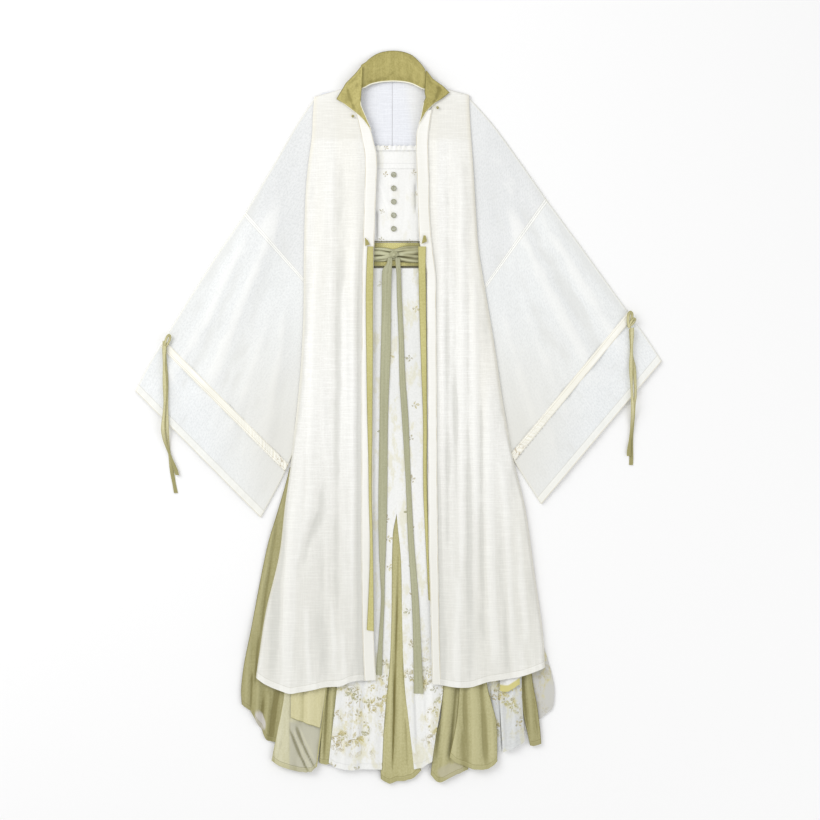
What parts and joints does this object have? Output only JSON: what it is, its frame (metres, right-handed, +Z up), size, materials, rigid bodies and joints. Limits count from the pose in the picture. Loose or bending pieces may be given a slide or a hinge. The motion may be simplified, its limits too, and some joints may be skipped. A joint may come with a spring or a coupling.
{
  "type": "hanfu robe",
  "caption": "Open-fronted wide-sleeved coat laid flat over its strap dress with belt, sash, ribbons and a skirt with gores.",
  "frame": {"origin": "centre of the garment's outline on the surface that it lies on", "axes": "+Y from hem to collar, +X to the right as seen from above, +Z up out of the garment's front"},
  "size_m": [1.052, 1.4639, 0.0187],
  "materials": {
    "coat_cloth": "ivory semi-sheer slub weave, matt",
    "collar_cloth": "olive cloth, matt, cream edging",
    "thread": "wound olive thread",
    "ribbon_cloth": "yellow-olive ribbon, slight sheen",
    "sash_cloth": "sage sash, soft sheen",
    "belt_cloth": "olive band with a woven figure",
    "piping": "dark olive piping",
    "button": "olive-grey rimmed button",
    "overlay_cloth": "sheer yellow-olive cloth",
    "godet_cloth": "olive cloth, matt",
    "dress_cloth": "white cloth with small floral sprigs"
  },
  "bodies": {
    "root": {"belt_piping_low": "piping", "belt_piping_top": "piping", "bodice_back": "dress_cloth", "bodice_band": "dress_cloth", "bodice_front": "dress_cloth", "bodice_ruffle": "dress_cloth", "button_1": "button", "button_2": "button", "button_3": "button", "button_4": "button", "button_5": "button", "coat_back_left": "coat_cloth", "coat_back_right": "coat_cloth", "coat_front_left": "coat_cloth", "coat_front_right": "coat_cloth", "collar_knot_left": "thread", "collar_knot_right": "thread", "collar_stand": "collar_cloth", "cuff_left": "coat_cloth", "cuff_right": "coat_cloth", "cuff_seam_left": "coat_cloth", "cuff_seam_right": "coat_cloth", "front_band_left": "coat_cloth", "front_band_right": "coat_cloth", "lapel_left": "collar_cloth", "lapel_right": "collar_cloth", "ribbon_head_left": "ribbon_cloth", "ribbon_head_right": "ribbon_cloth", "ribbon_left": "ribbon_cloth", "ribbon_right": "ribbon_cloth", "sash_knot": "sash_cloth", "sash_tail_left": "sash_cloth", "sash_tail_right": "sash_cloth", "sash_wrap": "sash_cloth", "skirt_back": "dress_cloth", "skirt_flap_right": "godet_cloth", "skirt_godet_centre": "godet_cloth", "skirt_godet_far_left": "godet_cloth", "skirt_godet_far_right": "godet_cloth", "skirt_godet_right": "godet_cloth", "skirt_overlay_fold": "overlay_cloth", "skirt_overlay_left": "overlay_cloth", "skirt_overlay_right": "overlay_cloth", "skirt_panel_far_right": "dress_cloth", "skirt_panel_left": "dress_cloth", "skirt_panel_right": "dress_cloth", "skirt_stripe_left": "godet_cloth", "skirt_stripe_right": "dress_cloth", "sleeve_head_left": "coat_cloth", "sleeve_head_right": "coat_cloth", "sleeve_left": "coat_cloth", "sleeve_right": "coat_cloth", "sleeve_tie_left_long": "ribbon_cloth", "sleeve_tie_left_short": "ribbon_cloth", "sleeve_tie_right_long": "ribbon_cloth", "sleeve_tie_right_short": "ribbon_cloth", "strap_left": "dress_cloth", "strap_right": "dress_cloth", "waistband": "belt_cloth"}
  },
  "joints": []
}
